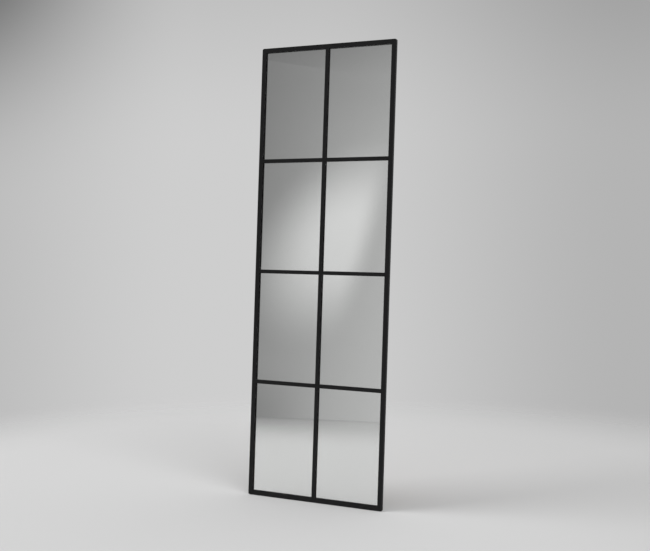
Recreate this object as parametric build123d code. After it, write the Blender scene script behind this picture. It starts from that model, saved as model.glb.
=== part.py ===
from build123d import *
import os

# A tall wall mirror: one silvered glass sheet behind a welded steel frame with glazing bars.
# Millimetres. X points right as seen from the front, Z points up, and the front faces -Y.
# The wall is the plane Y = 0. The origin is on it, midway between the two points where the
# wall hooks bear when the hanger rings are turned up.

# Steel frame
frame_width = 600.0
frame_height = 1800.0
frame_depth = 12.0
chamber_width = 10.0          # closed chamber along the outer edge
chamber_wall = 1.2
lip_width = 9.0               # front lip that covers the edge of the glass
lip_thickness = 4.0
corner_radius = 7.0           # frame corner, seen from the front
outer_edge_radius = 1.2
inner_edge_radius = 0.5

# Glazing bars, flat steel that is flush with the lip
bar_width = 15.0
pane_rows = 4

# Glass, and what lies behind it
tape_thickness = 0.5
tape_inset = 1.5              # how far the tape stays back from the visible edge of the metal
glass_thickness = 4.0
glass_gap = 2.0               # between the glass and the chamber, filled by pads and spacers
silvering_thickness = 0.2
film_thickness = 0.3
board_thickness = 2.5
board_gap = 1.0
pad_length = 40.0
pad_distance = 130.0          # from the frame's corner to the middle of a pad or spacer

# Clips that hold the board in, each with one screw
clip_width = 16.0
clip_thickness = 1.0
clip_edge_margin = 1.5        # the frame's edge stands proud of clips and plates by this
clip_overlap = 8.0            # how far a clip reaches over the board
clip_corner_radius = 2.0
clips_per_stile = 4
clips_per_rail = 2
screw_diameter = 2.9
screw_length = 8.0
screw_head_diameter = 5.6
screw_head_height = 1.8
screw_edge_radius = 1.1
drive_slot_length = 3.2
drive_slot_width = 0.8
drive_slot_depth = 1.0

# Corner plates over the mitres, each with four rivets
plate_width = 52.0
plate_height = 80.0
plate_thickness = 1.5
plate_cut_corner = 18.0
plate_corner_radius = 5.0
rivet_diameter = 3.2
rivet_head_diameter = 6.2
rivet_head_height = 1.1
rivet_edge_radius = 0.9
rivet_bulb_diameter = 4.8
rivet_bulb_length = 3.0
rivet_stem_diameter = 1.6     # the hole that the drawn stem leaves
rail_rivet_distances = (20.0, 44.0)
stile_rivet_distances = (30.0, 60.0)
hole_clearance = 0.05         # radial, round every screw and rivet

# Hangers: a strap welded to each upper corner plate, and the ring that swings in its curl
hook_drop = 24.0              # from the frame's top edge down to the line of the hooks
hanger_distance = 32.0        # from the frame's outer edge to the middle of a hanger
ring_wire = 3.0
ring_inner_width = 18.0
ring_inner_height = 14.0      # from the pivot axis to the inside of the crown
ring_bend_radius = 3.0
ring_lean = 1.0               # degrees by which the hanging ring stands out from its strap
pivot_clearance = 0.1         # radial
strap_width = 13.0
strap_thickness = 1.2
strap_length = 28.0
strap_corner_radius = 3.0

# Rubber bumpers
bumper_diameter = 12.0
bumper_height = 6.5
bumper_side_distance = 12.0   # from the frame's outer side edge
bumper_plate_distance = 7.5   # from the end of the corner plate that carries it
bumper_edge_radius = 1.0

same_place = 1e-4             # two coordinates nearer than this are taken as equal

# Levels along Y, counted from the wall
plate_back = -bumper_height
frame_back = plate_back - plate_thickness
frame_front = frame_back - frame_depth
lip_back = frame_front + lip_thickness
glass_front = lip_back + tape_thickness
glass_back = glass_front + glass_thickness
silvering_back = glass_back + silvering_thickness
film_back = silvering_back + film_thickness
board_back = film_back + board_thickness
cavity_back = frame_back - chamber_wall

# Places along X and Z
half_width = frame_width / 2
top = hook_drop
bottom = top - frame_height
middle = (top + bottom) / 2
member_width = chamber_width + lip_width
glass_inset = chamber_width + glass_gap
tape_reach = member_width - tape_inset
wall_line = chamber_width / 2          # middle of the chamber's rear wall
pane_height = (frame_height - 2 * member_width - (pane_rows - 1) * bar_width) / pane_rows
pivot_z = -ring_inner_height
curl_radius = ring_wire / 2 + pivot_clearance + strap_thickness
pivot_y = plate_back + curl_radius

SIDES = {"left": -1, "right": 1}
ENDS = {"bottom": -1, "top": 1}

os.makedirs("parts", exist_ok=True)


def save(name, *solids):
    shape = solids[0] if len(solids) == 1 else Compound(children=list(solids))
    export_step(shape, f"parts/{name}.step")


def slab(outline, front, back):
    """Give thickness to an outline that is drawn as seen from the front, X right and Z up."""
    return extrude(Plane.XZ.offset(-back) * outline, back - front)


def panel(inset, front, back):
    """A rectangular slab of the frame's size, drawn in by the inset on all four edges."""
    outline = Rectangle(frame_width - 2 * inset, frame_height - 2 * inset)
    return slab(Pos(0, middle) * outline, front, back)


def block(x0, x1, z0, z1, front, back):
    outline = Pos((x0 + x1) / 2, (z0 + z1) / 2) * Rectangle(x1 - x0, z1 - z0)
    return slab(outline, front, back)


def rod(diameter, x, z, front, back):
    return slab(Pos(x, z) * Circle(diameter / 2), front, back)


def level_edges(shape, y):
    """The edges that lie in one plane square to Y."""
    return [e for e in shape.edges() if all(abs((e @ t).Y - y) < same_place for t in (0, 0.5, 1))]


def on_side(shape, side):
    """The shape as it is drawn at the right, or its mirror image at the left."""
    return shape if side > 0 else mirror(shape, Plane.YZ)


def at_end(shape, end):
    """The shape as it is drawn at the top, or its mirror image at the bottom."""
    return shape if end > 0 else mirror(shape, Plane.XY.offset(middle))


def rivet_places():
    """X and Z of the rivets in the corner plate at the top right."""
    along_rail = [(half_width - d, top - wall_line) for d in rail_rivet_distances]
    along_stile = [(half_width - wall_line, top - d) for d in stile_rivet_distances]
    return along_rail + along_stile


def clip_places():
    """Name, place and turn about Y of each clip, from one drawn at X = 0 below the top edge."""
    places = []
    run = frame_width - 2 * (clip_edge_margin + plate_width)
    for end, turn in (("top", 0), ("bottom", 180)):
        z = top if end == "top" else bottom
        for i in range(clips_per_rail):
            x = run * ((i + 1) / (clips_per_rail + 1) - 0.5)
            places.append((f"clip_{end}_{i + 1}", Pos(x, 0, z) * Rot(Y=turn)))
    run = frame_height - 2 * (clip_edge_margin + plate_height)
    for side, turn in (("left", -90), ("right", 90)):
        for i in range(clips_per_stile):
            z = middle + run * (0.5 - (i + 1) / (clips_per_stile + 1))
            places.append((f"clip_{side}_{i + 1}", Pos(SIDES[side] * half_width, 0, z) * Rot(Y=turn)))
    return places


def every_rivet(shape):
    """Copies of a shape, drawn round the Y axis, at the rivets of all four corner plates."""
    copies = [Pos(x, 0, z) * shape for x, z in rivet_places()]
    return [at_end(on_side(c, s), e) for s in SIDES.values() for e in ENDS.values() for c in copies]


def every_screw(shape):
    """Copies of a shape, drawn round the Y axis, at the screws of all the clips."""
    return [place * Pos(0, 0, -wall_line) * shape for _, place in clip_places()]


def frame_ring():
    """The frame in one piece: a closed chamber all round, and the lip inside its front."""
    outline = RectangleRounded(frame_width, frame_height, corner_radius)
    ring = slab(Pos(0, middle) * outline, frame_front, frame_back)
    ring = fillet(level_edges(ring, frame_front) + level_edges(ring, frame_back), outer_edge_radius)
    ring -= panel(member_width, frame_front, frame_back)
    ring -= panel(chamber_width, lip_back, frame_back)
    reach = half_width - member_width + inner_edge_radius
    front_edges = level_edges(ring, frame_front)
    opening = [e for e in front_edges if abs(e.center().X) < reach and abs((e @ 0).X) < reach]
    ring = fillet(opening, inner_edge_radius)
    cavity_outline = RectangleRounded(
        frame_width - 2 * chamber_wall,
        frame_height - 2 * chamber_wall,
        max(corner_radius - chamber_wall, inner_edge_radius),
    )
    cavity = slab(Pos(0, middle) * cavity_outline, frame_front + chamber_wall, cavity_back)
    cavity -= panel(chamber_width - chamber_wall, frame_front, frame_back)
    ring -= cavity
    for hole in every_rivet(rod(rivet_diameter + 2 * hole_clearance, 0, 0, cavity_back, frame_back)):
        ring -= hole
    for hole in every_screw(rod(screw_diameter + 2 * hole_clearance, 0, 0, cavity_back, frame_back)):
        ring -= hole
    return ring


def make_frame():
    """Cut the frame at its mitres, so that each stile and rail is a piece of its own."""
    ring = frame_ring()
    out = member_width
    deep = 2 * member_width
    stile = [
        (half_width + out, top + out),
        (half_width - deep, top - deep),
        (half_width - deep, bottom + deep),
        (half_width + out, bottom - out),
    ]
    rail = [
        (half_width + out, top + out),
        (half_width - deep, top - deep),
        (deep - half_width, top - deep),
        (-half_width - out, top + out),
    ]
    stile_wedge = slab(make_face(Polyline(*stile, close=True)), frame_front, frame_back)
    rail_wedge = slab(make_face(Polyline(*rail, close=True)), frame_front, frame_back)
    for name, side in SIDES.items():
        save(f"stile_{name}", ring & on_side(stile_wedge, side))
    for name, end in ENDS.items():
        save(f"rail_{name}", ring & at_end(rail_wedge, end))


def flat_bar(x0, x1, z0, z1):
    """A length of flat steel, with its long front edges just broken."""
    bar = block(x0, x1, z0, z1, frame_front, lip_back)
    along = Axis.X if x1 - x0 > z1 - z0 else Axis.Z
    long_edges = ShapeList(level_edges(bar, frame_front)).filter_by(along)
    return fillet(long_edges, inner_edge_radius)


def bar_levels():
    """Z of the middle of each row of cross bars, from the top down."""
    step = pane_height + bar_width
    return [top - member_width + bar_width / 2 - step * (i + 1) for i in range(pane_rows - 1)]


def make_bars():
    """One mullion from rail to rail, and two short cross bars on each level."""
    half = bar_width / 2
    save("mullion", flat_bar(-half, half, bottom + member_width, top - member_width))
    for row, z in enumerate(bar_levels()):
        bar = flat_bar(half, half_width - member_width, z - half, z + half)
        for name, side in SIDES.items():
            save(f"cross_bar_{name}_{row + 1}", on_side(bar, side))


def make_tapes():
    """Foam tape between the metal and the glass, set back so that it hardly shows."""
    half = bar_width / 2 - tape_inset
    upright = block(half_width - tape_reach, half_width - glass_inset,
                    bottom + glass_inset, top - glass_inset, lip_back, glass_front)
    level = block(tape_reach - half_width, half_width - tape_reach,
                  top - tape_reach, top - glass_inset, lip_back, glass_front)
    uprights = [on_side(upright, s) for s in SIDES.values()]
    levels = [at_end(level, e) for e in ENDS.values()]
    save("frame_tape", *uprights, *levels)
    low = bottom + member_width
    high = top - member_width
    strips = [block(-half, half, low, high, lip_back, glass_front)]
    for z in bar_levels():
        strip = block(half + tape_inset, half_width - member_width,
                      z - half, z + half, lip_back, glass_front)
        strips += [on_side(strip, s) for s in SIDES.values()]
    save("bar_tape", *strips)


def make_glazing():
    """The glass, its silvering and safety film, the board behind, and what centres the glass."""
    save("mirror_glass", panel(glass_inset, glass_front, glass_back))
    save("silvering", panel(glass_inset, glass_back, silvering_back))
    save("safety_film", panel(glass_inset, silvering_back, film_back))
    save("backing_board", panel(chamber_width + board_gap, film_back, board_back))
    x = half_width - pad_distance
    pad = block(x - pad_length / 2, x + pad_length / 2,
                bottom + chamber_width, bottom + glass_inset, glass_front, film_back)
    z = top - pad_distance
    spacer = block(half_width - glass_inset, half_width - chamber_width,
                   z - pad_length / 2, z + pad_length / 2, glass_front, film_back)
    for name, side in SIDES.items():
        save(f"setting_pad_{name}", on_side(pad, side))
        for end_name, end in ENDS.items():
            save(f"spacer_{end_name}_{name}", at_end(on_side(spacer, side), end))


def make_clips():
    """Steel plates that are screwed to the chamber and step down onto the board."""
    board_edge = -chamber_width - board_gap
    tip = board_edge - clip_overlap
    low_side = [
        (frame_back, -clip_edge_margin),
        (frame_back, -chamber_width),
        (board_back, board_edge),
        (board_back, tip),
    ]
    high_side = [(y + clip_thickness, z) for y, z in reversed(low_side)]
    section = Plane.YZ * make_face(Polyline(*low_side, *high_side, close=True))
    clip = extrude(section, clip_width / 2, both=True)
    corners = clip.edges().filter_by(Axis.Y).group_by(Axis.Z)
    clip = fillet(corners[0] + corners[-1], clip_corner_radius)
    head_front = frame_back + clip_thickness
    clip -= Pos(0, 0, -wall_line) * rod(screw_diameter + 2 * hole_clearance, 0, 0, frame_back, head_front)
    for name, place in clip_places():
        save(name, place * clip)
    head_back = head_front + screw_head_height
    screw = rod(screw_head_diameter, 0, 0, head_front, head_back)
    screw = fillet(level_edges(screw, head_back), screw_edge_radius)
    screw += rod(screw_diameter, 0, 0, head_front - screw_length, head_front)
    slot_half = drive_slot_length / 2
    slot_side = drive_slot_width / 2
    slot_floor = head_back - drive_slot_depth
    screw -= block(-slot_half, slot_half, -slot_side, slot_side, slot_floor, head_back)
    screw -= block(-slot_side, slot_side, -slot_half, slot_half, slot_floor, head_back)
    save("clip_screws", *every_screw(screw))


def make_corner_plates():
    """Flat plates that bridge the mitres at the back, held by blind rivets."""
    x1 = half_width - clip_edge_margin
    z1 = top - clip_edge_margin
    outline = Pos(x1 - plate_width / 2, z1 - plate_height / 2) * Rectangle(plate_width, plate_height)
    cut = outline.vertices().sort_by(Axis.X)[:2].sort_by(Axis.Y)[0]
    outline = chamfer(cut, plate_cut_corner)
    outline = fillet(outline.vertices(), plate_corner_radius)
    plate = slab(outline, frame_back, plate_back)
    for x, z in rivet_places():
        plate -= rod(rivet_diameter + 2 * hole_clearance, x, z, frame_back, plate_back)
    for end_name, end in ENDS.items():
        for name, side in SIDES.items():
            save(f"corner_plate_{end_name}_{name}", at_end(on_side(plate, side), end))
    head_back = plate_back + rivet_head_height
    rivet = rod(rivet_head_diameter, 0, 0, plate_back, head_back)
    rivet = fillet(level_edges(rivet, head_back), rivet_edge_radius)
    rivet += rod(rivet_diameter, 0, 0, cavity_back, plate_back)
    rivet += rod(rivet_bulb_diameter, 0, 0, cavity_back - rivet_bulb_length, cavity_back)
    rivet -= rod(rivet_stem_diameter, 0, 0, cavity_back, head_back)
    save("plate_rivets", *every_rivet(rivet))


def hanger_strap():
    """A flat tongue whose upper end is curled round the ring's pivot."""
    bore = Circle(curl_radius - strap_thickness)
    curl = Pos(pivot_y, pivot_z) * (Circle(curl_radius) - bore)
    tongue_place = Pos(plate_back + strap_thickness / 2, pivot_z - strap_length / 2)
    tongue = tongue_place * Rectangle(strap_thickness, strap_length)
    strap = extrude(Plane.YZ * (curl + tongue), strap_width / 2, both=True)
    low = [e for e in strap.edges().filter_by(Axis.Y) if e.center().Z < pivot_z - strap_length / 2]
    return fillet(low, strap_corner_radius)


def hanger_ring():
    """Round wire bent to a D, drawn hanging straight down from a pivot at the origin."""
    half = (ring_inner_width + ring_wire) / 2
    bend = ring_bend_radius
    leg = ring_inner_height + ring_wire / 2 - half
    bar = Line((bend - half, 0), (half - bend, 0))
    right_bend = TangentArc(bar @ 1, (half, -bend), tangent=bar % 1)
    right_leg = Line(right_bend @ 1, (half, -leg))
    crown = TangentArc(right_leg @ 1, (-half, -leg), tangent=right_leg % 1)
    left_leg = Line(crown @ 1, (-half, -bend))
    left_bend = TangentArc(left_leg @ 1, bar @ 0, tangent=left_leg % 1)
    path = Plane.XZ * Wire([bar, right_bend, right_leg, crown, left_leg, left_bend])
    section = Plane(origin=path @ 0, z_dir=path % 0) * Circle(ring_wire / 2)
    return sweep(section, path=path)


def make_hangers():
    x = half_width - hanger_distance
    strap = Pos(x, 0, 0) * hanger_strap()
    ring = Pos(x, pivot_y, pivot_z) * Rot(X=ring_lean) * hanger_ring()
    for name, side in SIDES.items():
        save(f"hanger_strap_{name}", on_side(strap, side))
        save(f"hanger_ring_{name}", on_side(ring, side))
    print("hanger pivot", x, pivot_y, pivot_z)


def make_bumpers():
    x = half_width - bumper_side_distance
    z = top - clip_edge_margin - plate_height + bumper_plate_distance
    bumper = rod(bumper_diameter, x, z, plate_back, 0)
    bumper = fillet(level_edges(bumper, 0), bumper_edge_radius)
    for end_name, end in ENDS.items():
        for name, side in SIDES.items():
            save(f"bumper_{end_name}_{name}", at_end(on_side(bumper, side), end))


make_frame()
make_bars()
make_tapes()
make_glazing()
make_clips()
make_corner_plates()
make_hangers()
make_bumpers()
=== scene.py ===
from math import cos, pi, radians, sin

import bmesh
import bpy
from mathutils import Matrix, Vector


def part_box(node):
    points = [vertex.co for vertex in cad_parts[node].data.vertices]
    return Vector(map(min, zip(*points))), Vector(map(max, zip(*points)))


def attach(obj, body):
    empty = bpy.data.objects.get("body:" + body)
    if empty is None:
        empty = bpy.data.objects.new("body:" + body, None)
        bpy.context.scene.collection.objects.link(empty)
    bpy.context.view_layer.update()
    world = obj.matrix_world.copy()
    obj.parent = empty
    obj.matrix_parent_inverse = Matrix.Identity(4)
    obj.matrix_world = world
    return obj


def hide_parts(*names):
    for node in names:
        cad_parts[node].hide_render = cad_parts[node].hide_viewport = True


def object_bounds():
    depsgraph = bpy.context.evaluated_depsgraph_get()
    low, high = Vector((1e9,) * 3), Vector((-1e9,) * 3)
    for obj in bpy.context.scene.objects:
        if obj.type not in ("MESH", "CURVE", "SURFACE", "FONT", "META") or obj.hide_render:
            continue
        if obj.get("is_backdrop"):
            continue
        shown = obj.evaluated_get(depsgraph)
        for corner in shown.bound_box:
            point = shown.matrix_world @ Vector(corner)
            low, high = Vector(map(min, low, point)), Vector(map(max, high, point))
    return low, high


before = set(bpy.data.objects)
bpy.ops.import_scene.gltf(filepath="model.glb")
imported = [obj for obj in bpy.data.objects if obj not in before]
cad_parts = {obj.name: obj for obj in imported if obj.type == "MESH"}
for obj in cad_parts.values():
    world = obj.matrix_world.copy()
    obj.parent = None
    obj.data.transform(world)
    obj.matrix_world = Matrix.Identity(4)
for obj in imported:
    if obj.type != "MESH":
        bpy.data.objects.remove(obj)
cad_low, cad_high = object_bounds()


# Frame, glazing bars and corner plates
# Thin-walled steel tube with a lip, and flat bars over the glass, are welded, ground flush
# and powder coated satin black with the plates behind, which leaves a fine orange peel.
class Shade:
    """One output of a shader node. Sums and products of shades add their Math nodes."""

    def __init__(self, tree, output=None):
        self.tree = tree
        self.output = output

    def node(self, kind, settings=None, inputs=None, output=0):
        """Adds any node: its settings first, then the values or links of its sockets."""
        made = self.tree.nodes.new(kind)
        for name, value in (settings or {}).items():
            setattr(made, name, value)
        for key, value in (inputs or {}).items():
            if isinstance(value, Shade):
                self.tree.links.new(value.output, made.inputs[key])
            else:
                made.inputs[key].default_value = value
        return Shade(self.tree, made.outputs[output] if made.outputs else None)

    def math(self, operation, *terms):
        return self.node("ShaderNodeMath", {"operation": operation}, dict(enumerate(terms)))

    def __add__(self, other):
        return self.math("ADD", self, other)

    def __sub__(self, other):
        return self.math("SUBTRACT", self, other)

    def __rsub__(self, other):
        return self.math("SUBTRACT", other, self)

    def __mul__(self, other):
        return self.math("MULTIPLY", self, other)

    def __truediv__(self, other):
        return self.math("DIVIDE", self, other)

    __radd__ = __add__
    __rmul__ = __mul__

    def ramp(self, low, high, start=0.0, end=1.0):
        """Turns smoothly from start, where this shade is low, to end, where it is high."""
        limits = {"From Min": low, "From Max": high, "To Min": start, "To Max": end}
        kind = {"interpolation_type": "SMOOTHSTEP"}
        return self.node("ShaderNodeMapRange", kind, {"Value": self, **limits})

    def blend(self, first, second):
        """The first colour where this shade is 0, and the second where it is 1."""
        colours = {0: self, 6: first, 7: second}
        return self.node("ShaderNodeMix", {"data_type": "RGBA"}, colours, 2)

    def tone(self):
        """This shade as a grey colour."""
        return self.blend(grey(0.0), grey(1.0))

    def place(self, stretch=(1.0, 1.0, 1.0)):
        """Where a point lies on the object, in metres, drawn out along X, Y or Z."""
        at = self.node("ShaderNodeTexCoord", output="Object")
        return self.node("ShaderNodeMapping", inputs={"Vector": at, "Scale": stretch})

    def axis(self, letter):
        return self.node("ShaderNodeSeparateXYZ", inputs={0: self.place()}, output=letter)

    def grain(self, scale, detail=2.0, stretch=(1.0, 1.0, 1.0)):
        """Noise from 0 to 1, with its scale in waves to the metre."""
        inputs = {"Vector": self.place(stretch), "Scale": scale, "Detail": detail}
        return self.node("ShaderNodeTexNoise", inputs=inputs)

    def facing_up(self):
        """1 on faces that look up, where dust settles."""
        normal = self.node("ShaderNodeNewGeometry", output="Normal")
        height = self.node("ShaderNodeSeparateXYZ", inputs={0: normal}, output="Z")
        return height.ramp(0.55, 0.98)

    def dent(self, height, depth):
        """A Bump node's normal, with the depth in metres."""
        return self.node("ShaderNodeBump", inputs={"Height": height, "Distance": depth})


def grey(level):
    return (level, level, level, 1.0)


def new_finish(name):
    """An empty material, and a Shade that adds nodes to it."""
    material = bpy.data.materials.new(name)
    material.use_nodes = True
    material.node_tree.nodes.clear()
    return material, Shade(material.node_tree)


def surface(shade, inputs):
    """Ends a finish with the Principled shader."""
    shader = shade.node("ShaderNodeBsdfPrincipled", inputs=inputs)
    shade.node("ShaderNodeOutputMaterial", inputs={"Surface": shader})


def dress(material, *starts):
    """Gives a material to every CAD node whose name starts with one of the words."""
    for name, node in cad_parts.items():
        if name.startswith(starts):
            node.material_slots[0].material = material


coat_dark = (0.0040, 0.0040, 0.0043, 1.0)
coat_light = (0.0066, 0.0066, 0.0069, 1.0)
dust_colour = (0.050, 0.048, 0.045, 1.0)
scuff_height = 0.006

powder_coat, shade = new_finish("powder_coat")
orange_peel = shade.grain(520.0)
speckle = shade.grain(3200.0, 1.0)
cloud = shade.grain(9.0)
dust = shade.facing_up() * shade.grain(70.0, 4.0).ramp(0.42, 0.72)
rub = shade.axis("Z").ramp(cad_low.z + scuff_height, cad_low.z)
scuff = rub * shade.grain(240.0, 3.0).ramp(0.50, 0.66)
coat = cloud.blend(coat_dark, coat_light)
coat = (0.35 * dust).blend(coat, dust_colour)
coat = (0.5 * scuff).blend(coat, grey(0.05))
surface(shade, {
    "Base Color": coat,
    "Roughness": 0.31 + 0.07 * cloud + 0.09 * orange_peel + 0.25 * dust + 0.1 * scuff,
    "Specular IOR Level": 0.20,
    "Normal": shade.dent(orange_peel + 0.25 * speckle, 0.00003),
})
dress(powder_coat, "stile", "rail", "mullion", "cross_bar", "corner_plate")


# Foam tape
# Double-sided acrylic foam, half a millimetre thick, holds the glazing bars to the glass
# and beds the glass against the lip. It is cut from a roll.
foam, shade = new_finish("foam")
cells = shade.grain(2600.0, 3.0)
surface(shade, {
    "Base Color": cells.blend(grey(0.008), grey(0.018)),
    "Roughness": 0.75 + 0.15 * cells,
    "Normal": shade.dent(cells, 0.00005),
})
dress(foam, "frame_tape", "bar_tape")


# Mirror glass
# One sheet of 4 mm clear float glass. Its edges are seamed with a belt, and its back
# carries the silver layer and a film that holds the pieces together if it breaks.
glass_gap = 0.00005           # short of the silver, as two faces in one plane look black
glass_seam = 0.0006


def object_from(made, name, material, smooth=False):
    """Makes an object of a bmesh, with its place in its mesh."""
    for face in made.faces:
        face.smooth = smooth
    mesh = bpy.data.meshes.new(name)
    made.to_mesh(mesh)
    made.free()
    mesh.materials.append(material)
    piece = bpy.data.objects.new(name, mesh)
    bpy.context.scene.collection.objects.link(piece)
    return piece


def fit_piece(piece, slot, *nodes):
    """Puts a piece on the mirror's body, in place of the CAD nodes it stands for."""
    if nodes:
        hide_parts(*nodes)
    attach(piece, "mirror")


def block(low, high):
    """A bmesh box between two corners."""
    low, high = Vector(low), Vector(high)
    made = bmesh.new()
    bmesh.ops.create_cube(made, size=1.0)
    bmesh.ops.scale(made, vec=high - low, verts=made.verts)
    bmesh.ops.translate(made, vec=(low + high) / 2, verts=made.verts)
    return made


def soften(made, edges, width, steps=1):
    bmesh.ops.bevel(made, geom=edges, offset=width, offset_type="OFFSET", affect="EDGES",
                    segments=steps, profile=0.5, material=-1, clamp_overlap=True)


clear_glass, shade = new_finish("clear_glass")
smear = shade.grain(6.0, 5.0).ramp(0.56, 0.80)
surface(shade, {
    "Base Color": (0.978, 0.984, 0.980, 1.0),
    "Roughness": 0.012 * smear,
    "IOR": 1.52,
    "Transmission Weight": 1.0,
})
low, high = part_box("mirror_glass")
sheet = block(low, (high.x, high.y - glass_gap, high.z))
soften(sheet, sheet.edges[:], glass_seam)
glass = object_from(sheet, "glass_sheet", clear_glass)
fit_piece(glass, "clear_glass", "mirror_glass")

silver, shade = new_finish("silver")
plating = shade.grain(3.0, 3.0)
surface(shade, {
    "Base Color": plating.blend((0.935, 0.933, 0.930, 1.0), (0.925, 0.924, 0.922, 1.0)),
    "Roughness": 0.004 * plating,
    "Metallic": 1.0,
})
dress(silver, "silvering")

film, shade = new_finish("film")
weave = shade.grain(900.0, 2.0, (1.0, 1.0, 0.2))
surface(shade, {
    "Base Color": weave.blend((0.28, 0.31, 0.30, 1.0), (0.36, 0.38, 0.37, 1.0)),
    "Roughness": 0.32 + 0.1 * weave,
    "Normal": shade.dent(weave, 0.00004),
})
dress(film, "safety_film")


# Backing board
# A sheet of 2.5 mm hardboard closes the back. It is pressed from brown wood fibre, with a
# smooth outer face, and sawn to size with its corners rounded off.
board_corner = 0.003
board_corner_steps = 5
board_arris = 0.0004
least_arris_angle = radians(60)

hardboard, shade = new_finish("hardboard")
mottle = shade.grain(26.0, 6.0)
blotch = shade.grain(4.0, 3.0)
fibre = shade.grain(95.0, 3.0, (7.0, 1.0, 1.0)) * shade.grain(95.0, 3.0, (1.0, 1.0, 6.0))
strand = fibre.ramp(0.24, 0.42)
fleck = shade.grain(420.0, 2.0).ramp(0.66, 0.74)
brown = mottle.ramp(0.3, 0.7).blend((0.150, 0.083, 0.043, 1.0), (0.235, 0.142, 0.080, 1.0))
brown = (0.30 * blotch).blend(brown, (0.120, 0.068, 0.038, 1.0))
brown = (0.45 * strand).blend(brown, (0.285, 0.188, 0.112, 1.0))
brown = (0.65 * fleck).blend(brown, (0.070, 0.038, 0.020, 1.0))
surface(shade, {
    "Base Color": brown,
    "Roughness": 0.46 + 0.16 * mottle + 0.08 * strand,
    "Specular IOR Level": 0.4,
    "Normal": shade.dent(strand + 0.6 * mottle + 0.4 * fleck, 0.00008),
})
low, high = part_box("backing_board")
board = block(low, high)
half_board = (high.y - low.y) / 2
corners = [e for e in board.edges if abs(e.verts[0].co.y - e.verts[1].co.y) > half_board]
soften(board, corners, board_corner, board_corner_steps)
rims = [e for e in board.edges if len(e.link_faces) == 2 and e.calc_face_angle() > least_arris_angle]
soften(board, rims, board_arris)
board = object_from(board, "back_board", hardboard)
fit_piece(board, "hardboard", "backing_board")


# Setting pads, spacers and bumpers
# Black rubber blocks carry and centre the glass in its channel. The four bumpers behind are
# moulded, with a dished foot that grips the wall, and are glued to the corner plates.
bumper_draft = 0.0004
bumper_round = 0.0010
bumper_dish = 0.0007
bumper_dish_radius = 0.0036
bumper_steps = 40

rubber, shade = new_finish("rubber")
mould = shade.grain(1500.0, 3.0)
bloom = shade.grain(120.0, 4.0).ramp(0.45, 0.75)
surface(shade, {
    "Base Color": (0.6 * bloom).blend(grey(0.012), grey(0.026)),
    "Roughness": 0.62 + 0.14 * bloom + 0.1 * mould,
    "Normal": shade.dent(mould, 0.00005),
})
dress(rubber, "setting_pad", "spacer")


def turned(profile, centre, steps):
    """Spins a profile of radius and Y about an axis through the centre that runs along Y."""
    made = bmesh.new()
    verts = [made.verts.new((radius, y, 0.0)) for radius, y in profile]
    edges = [made.edges.new(pair) for pair in zip(verts, verts[1:])]
    bmesh.ops.spin(made, geom=verts + edges, cent=(0.0, 0.0, 0.0), axis=(0.0, 1.0, 0.0),
                   angle=2 * pi, steps=steps, use_merge=True, use_duplicate=False)
    bmesh.ops.remove_doubles(made, verts=made.verts, dist=1e-6)
    bmesh.ops.recalc_face_normals(made, faces=made.faces)
    bmesh.ops.translate(made, vec=centre, verts=made.verts)
    return made


for end in ("top", "bottom"):
    for side in ("left", "right"):
        node = f"bumper_{end}_{side}"
        low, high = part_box(node)
        radius = (high.x - low.x) / 2
        foot = high.y
        profile = [
            (0.0, low.y),
            (radius - bumper_round / 2, low.y),
            (radius, low.y + bumper_round / 2),
            (radius - bumper_draft, foot - bumper_round),
            (radius - bumper_draft - 0.3 * bumper_round, foot - 0.3 * bumper_round),
            (radius - bumper_draft - bumper_round, foot),
            (bumper_dish_radius, foot),
            (bumper_dish_radius - bumper_dish, foot - bumper_dish),
            (0.0, foot - bumper_dish),
        ]
        centre = ((low.x + high.x) / 2, 0.0, (low.z + high.z) / 2)
        bumper = object_from(turned(profile, centre, bumper_steps), f"foot_{end}_{side}", rubber)
        fit_piece(bumper, "bumper_rubber", node)


# Board clips and their screws
# The clips are punched from 1 mm steel strip and bent down onto the board, then zinc
# plated, each held by one screw with a cross in its pan head.
zinc, shade = new_finish("zinc")
cloudy = shade.grain(160.0, 4.0)
brushed = shade.grain(700.0, 2.0, (1.0, 1.0, 0.12))
stain = shade.grain(45.0, 3.0).ramp(0.5, 0.8)
plated = cloudy.blend((0.52, 0.54, 0.56, 1.0), (0.68, 0.68, 0.67, 1.0))
surface(shade, {
    "Base Color": (0.25 * stain).blend(plated, (0.50, 0.46, 0.38, 1.0)),
    "Roughness": 0.24 + 0.16 * cloudy + 0.10 * brushed + 0.1 * stain,
    "Metallic": 1.0,
    "Normal": shade.dent(brushed + 0.5 * cloudy, 0.00002),
})
dress(zinc, "clip")


# Rivets
# Blind rivets with domed aluminium heads join each plate to the frame across the mitre.
# The end of the drawn steel stem stays behind in the middle of each head.
stem_radius = 0.00078
stem_taper = 0.8
stem_sides = 14
stem_depth = 0.0009
stem_sink = 0.00035
tube_line = 0.005             # from the outer edge to the middle of the tube
rail_rivets = (0.020, 0.044)  # distances from the frame's corner
stile_rivets = (0.030, 0.060)

aluminium, shade = new_finish("aluminium")
satin = shade.grain(1400.0, 2.0)
dull = shade.grain(90.0, 4.0)
surface(shade, {
    "Base Color": dull.blend((0.60, 0.61, 0.62, 1.0), (0.74, 0.74, 0.74, 1.0)),
    "Roughness": 0.30 + 0.14 * dull + 0.08 * satin,
    "Metallic": 1.0,
    "Normal": shade.dent(satin, 0.00002),
})
dress(aluminium, "plate_rivets")

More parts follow.
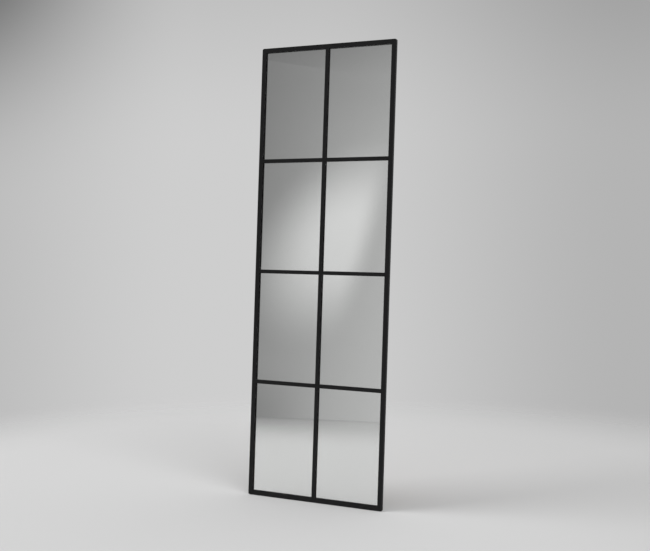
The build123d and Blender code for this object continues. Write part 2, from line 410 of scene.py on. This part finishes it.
stem_steel, shade = new_finish("stem_steel")
torn = shade.grain(2500.0, 3.0)
surface(shade, {
    "Base Color": torn.blend(grey(0.16), grey(0.34)),
    "Roughness": 0.42 + 0.2 * torn,
    "Metallic": 1.0,
    "Normal": shade.dent(torn, 0.0001),
})
rivet_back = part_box("plate_rivets")[1].y
stem_middle = rivet_back - stem_sink - stem_depth / 2
frame_right = cad_high.x
frame_top = cad_high.z
frame_middle = (cad_low.z + cad_high.z) / 2
rivet_places = [(frame_right - out, frame_top - tube_line) for out in rail_rivets]
rivet_places += [(frame_right - tube_line, frame_top - down) for down in stile_rivets]
stems = bmesh.new()
for right, height in rivet_places:
    for x in (right, -right):
        for z in (height, 2 * frame_middle - height):
            turn = Matrix.Rotation(pi / 2, 4, "X")
            place = Matrix.Translation((x, stem_middle, z)) @ turn
            bmesh.ops.create_cone(stems, cap_ends=True, segments=stem_sides,
                                  radius1=stem_taper * stem_radius, radius2=stem_radius,
                                  depth=stem_depth, matrix=place)
stems = object_from(stems, "rivet_stems", stem_steel)
fit_piece(stems, "rivet_steel")


# Hangers
# A steel strap is curled round the pivot of each D ring and welded to the upper corner
# plate along both sides of its tongue. Strap, ring and weld are zinc plated as one.
weld_radius = 0.0011
weld_pitch = 0.0012
weld_margin = 0.004
weld_share = 0.75             # of the strap's height, counted from its lower end
weld_lift = 0.15              # of the radius, off the plate
weld_squash = Matrix.Diagonal((1.0, 0.62, 1.15, 1.0))

dress(zinc, "hanger")
plate_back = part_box("corner_plate_top_right")[1].y
for side in ("left", "right"):
    low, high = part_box(f"hanger_strap_{side}")
    weld = bmesh.new()
    weld_start = low.z + weld_margin
    weld_end = low.z + weld_share * (high.z - low.z)
    for x in (low.x, high.x):
        for step in range(int((weld_end - weld_start) / weld_pitch) + 1):
            z = weld_start + step * weld_pitch
            spot = Matrix.Translation((x, plate_back + weld_lift * weld_radius, z))
            bmesh.ops.create_icosphere(weld, subdivisions=2, radius=weld_radius,
                                       matrix=spot @ weld_squash)
    weld = object_from(weld, f"strap_weld_{side}", zinc, True)
    fit_piece(weld, "hanger_steel")


# Studio floor
# A pale seamless floor under the mirror. Its tone is painted with shade: much darker towards
# the left wall, with a painted shadow along the wall's foot, and a little darker towards the back right.
# The mirror leans back 3.8 degrees in the photograph and the CAD stands upright, so the whole
# room is turned about its heel instead.
lean = radians(3.784)
heel = Vector((0.0, -0.008, cad_low.z))
room_turn = Matrix.Translation(heel) @ Matrix.Rotation(lean, 4, "X")
upward = Vector((0.0, 0.0, 1.0))
left_wall_way = Vector((-0.753, -0.658, 0.0)).normalized()
left_wall_along = (-left_wall_way).cross(upward)
left_wall_distance = 5.68
end_wall_distance = 8.0
ceiling_height = 3.15
floor_reach = 9.0
floor_fade_start = 1.7
floor_fade_end = 2.9
floor_near = 0.665
floor_far = 0.585


class Room:
    """Distances in the turned room, as shades, for the finish of its floor and walls."""

    def __init__(self, shade):
        self.shade = shade
        self.place = shade.node("ShaderNodeMapping", {"vector_type": "TEXTURE"}, {
            "Vector": shade.place(), "Location": heel, "Rotation": (lean, 0.0, 0.0)})

    def along(self, way):
        dot = {"operation": "DOT_PRODUCT"}
        return self.shade.node("ShaderNodeVectorMath", dot, {0: self.place, 1: way}, "Value")

    def from_heel(self):
        return self.shade.node("ShaderNodeVectorMath", {"operation": "LENGTH"}, {0: self.place}, "Value")


def stage_piece(made, name, material):
    """A part of the studio, drawn in the room's own directions."""
    bmesh.ops.transform(made, matrix=room_turn, verts=made.verts)
    piece = object_from(made, name, material)
    piece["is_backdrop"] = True
    return piece


floor_finish, shade = new_finish("floor_paper")
room = Room(shade)
wall_gap = left_wall_distance - room.along(left_wall_way)
along_wall = room.along(left_wall_along)
# Painted shade: the floor darkens along and towards the left wall, and a painted shadow line lies along
# the wall's foot.
painted_foot_shade = along_wall.ramp(0.9, 2.8, 0.19, 0.45) - wall_gap.ramp(0.45, 0.0, 0.0, 0.055)
# Painted shade: the open floor turns a little darker towards the back right.
open_tone = wall_gap.ramp(5.7, 7.6, floor_near, floor_far)
floor_tone = wall_gap.ramp(-0.9, 3.2).blend(painted_foot_shade.tone(), open_tone.tone())
lit = shade.node("ShaderNodeBsdfDiffuse", inputs={"Color": floor_tone})
clear = shade.node("ShaderNodeBsdfTransparent")
camera_ray = shade.node("ShaderNodeLightPath", output="Is Camera Ray")
fade = room.from_heel().ramp(floor_fade_start, floor_fade_end) * camera_ray
mixed = shade.node("ShaderNodeMixShader", inputs={0: fade, 1: lit, 2: clear})
shade.node("ShaderNodeOutputMaterial", inputs={"Surface": mixed})

disc = bmesh.new()
bmesh.ops.create_circle(disc, cap_ends=True, segments=64, radius=floor_reach)
stage_piece(disc, "floor", floor_finish)


# Studio walls
# Walls and a ceiling that glow with painted light and shade, and only show in the mirror and
# in gloss, so that no view of the mirror is blocked. A painted pool of lamp light lies on the
# left wall in a soft leaf-shaped patch.
wall_reach = 6.0
leaf_distance = 2.157         # along the left wall
leaf_height = 1.588
leaf_half_length = 0.692
leaf_half_width = 0.455
leaf_turn = 0.883
leaf_strength = 0.29
cut_turn = -0.223             # of the straight edge that cuts the patch off


def glow(shade, tone):
    shader = shade.node("ShaderNodeEmission", inputs={"Color": tone.tone(), "Strength": 1.0})
    shade.node("ShaderNodeOutputMaterial", inputs={"Surface": shader})


def only_in_gloss(piece):
    piece.visible_camera = False
    piece.visible_diffuse = False
    piece.visible_shadow = False


def wall(name, way, along, distance, from_side, to_side, material):
    """An upright wall at a distance from the heel, between two places along it."""
    made = bmesh.new()
    bmesh.ops.create_grid(made, x_segments=1, y_segments=1, size=0.5)
    width = to_side - from_side
    turn = Matrix((along, upward, way)).transposed().to_4x4()
    centre = way * distance + along * (from_side + width / 2) + upward * (ceiling_height / 2)
    shape = Matrix.Translation(centre) @ turn @ Matrix.Diagonal((width, ceiling_height, 1.0, 1.0))
    bmesh.ops.transform(made, matrix=shape, verts=made.verts)
    only_in_gloss(stage_piece(made, name, material))


left_wall_finish, shade = new_finish("left_wall_painted_light")
room = Room(shade)
wall_place = 2.0
wall_height = 1.5
side = room.along(left_wall_along) - wall_place
up = room.along(upward) - wall_height
# Painted shade: the left wall darkens towards the back, upwards, and in its corners at the floor and the
# ceiling.
wall_shade = side.ramp(-1.5, 1.3, 0.20, 0.52) - 0.020 * up
wall_shade = wall_shade - up.ramp(-1.0, -1.5, 0.0, 0.06) * side.ramp(0.2, -0.5)
wall_shade = wall_shade - up.ramp(0.9, 1.65, 0.0, 0.06) * side.ramp(-0.9, 0.6)
from_leaf = side - (leaf_distance - wall_place)
over_leaf = up - (leaf_height - wall_height)
leaf_side = from_leaf * cos(leaf_turn) + over_leaf * sin(leaf_turn)
leaf_up = over_leaf * cos(leaf_turn) - from_leaf * sin(leaf_turn)
leaf_length = leaf_side * leaf_side / leaf_half_length ** 2
leaf_width = leaf_up * leaf_up / leaf_half_width ** 2
inside_leaf = shade.math("SQRT", leaf_length + leaf_width).ramp(0.30, 1.70, 1.0, 0.0)
inside_cut = (side * cos(cut_turn) + up * sin(cut_turn)).ramp(0.22, 0.50, 1.0, 0.0)
# Painted light: the pool of lamp light is painted into the wall's glow.
patch = leaf_strength * (1.0 + 0.50 * leaf_up) * inside_leaf * inside_cut
glow(shade, wall_shade + patch)
wall("left_wall", left_wall_way, left_wall_along, left_wall_distance, -wall_reach,
     end_wall_distance, left_wall_finish)

end_wall_finish, shade = new_finish("end_wall_painted_light")
room = Room(shade)
# Painted light: the end wall glows a little brighter upwards.
glow(shade, room.along(upward).ramp(0.0, ceiling_height, 0.47, 0.55))
wall("end_wall", left_wall_along, -left_wall_way, end_wall_distance, -left_wall_distance,
     wall_reach, end_wall_finish)

ceiling_finish, shade = new_finish("ceiling_painted_light")
room = Room(shade)
# Painted light: the ceiling glows brighter towards the front.
glow(shade, room.along(left_wall_along).ramp(0.9, 3.4, 0.19, 0.44))
made = bmesh.new()
bmesh.ops.create_grid(made, x_segments=1, y_segments=1, size=floor_reach)
bmesh.ops.translate(made, vec=(0.0, -floor_reach, ceiling_height), verts=made.verts)
only_in_gloss(stage_piece(made, "ceiling", ceiling_finish))


# Camera
# A long lens stands to the right of the mirror at chest height and looks slightly down.
camera_place = Vector((2.3117, -4.0715, 1.1271))
camera_turn = radians(29.07)
camera_dip = radians(2.891)
camera_data = bpy.data.cameras.new("camera")
camera_data.sensor_width = 36.0
camera_data.lens = 66.78
camera = bpy.data.objects.new("camera", camera_data)
bpy.context.scene.collection.objects.link(camera)
aim = Matrix.Rotation(camera_turn, 4, "Z") @ Matrix.Rotation(radians(90) - camera_dip, 4, "X")
camera_frame = room_turn @ Matrix.Translation(camera_place) @ aim
camera.matrix_world = camera_frame
bpy.context.scene.camera = camera
bpy.context.scene.view_settings.view_transform = "Standard"


# Studio light
# Two broad soft lights stand in front at the left and the right, and an even pale surround
# fills the shadows. Beyond the floor the surround shows, and falls off like a lit wall.
def soft_light(name, azimuth, height, strength, spread):
    """A broad light from an azimuth, counted from the front, and a height above the floor."""
    lamp = bpy.data.lights.new(name, "SUN")
    lamp.energy = strength
    lamp.angle = radians(spread)
    lit = bpy.data.objects.new(name, lamp)
    bpy.context.scene.collection.objects.link(lit)
    turn = Matrix.Rotation(radians(azimuth), 4, "Z") @ Matrix.Rotation(radians(90 - height), 4, "X")
    lit.matrix_world = room_turn @ turn


soft_light("light_left", -58.0, 36.0, 1.25, 38.0)
soft_light("light_right", 58.0, 34.0, 0.85, 34.0)

surround = bpy.data.worlds.new("surround")
surround.use_nodes = True
surround.node_tree.nodes.clear()
bpy.context.scene.world = surround
shade = Shade(surround.node_tree)
gaze = shade.node("ShaderNodeTexCoord", output="Generated")


def gaze_along(column, sign=1.0):
    """How far a direction lies along one of the camera's own axes."""
    way = sign * camera_frame.col[column].to_3d()
    return shade.node("ShaderNodeVectorMath", {"operation": "DOT_PRODUCT"}, {0: gaze, 1: way}, "Value")


ahead = gaze_along(2, -1.0)
across = gaze_along(0) / ahead
above = gaze_along(1) / ahead
left_fall = across.ramp(-0.108, -0.36)
fall = 0.161 * across.ramp(-0.018, 0.26) + 0.119 * above.ramp(0.101, 0.30)
fall = fall + left_fall * (0.139 + 0.475 * above.ramp(0.058, 0.326))
backdrop_tone = 0.616 - fall * ahead.ramp(0.86, 0.95)
camera_ray = shade.node("ShaderNodeLightPath", output="Is Camera Ray")
behind = shade.node("ShaderNodeBackground", inputs={"Color": backdrop_tone.tone()})
fill = shade.node("ShaderNodeBackground", inputs={"Color": grey(0.62)})
mixed = shade.node("ShaderNodeMixShader", inputs={0: camera_ray, 1: fill, 2: behind})
shade.node("ShaderNodeOutputWorld", inputs={"Surface": mixed})


low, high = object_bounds()
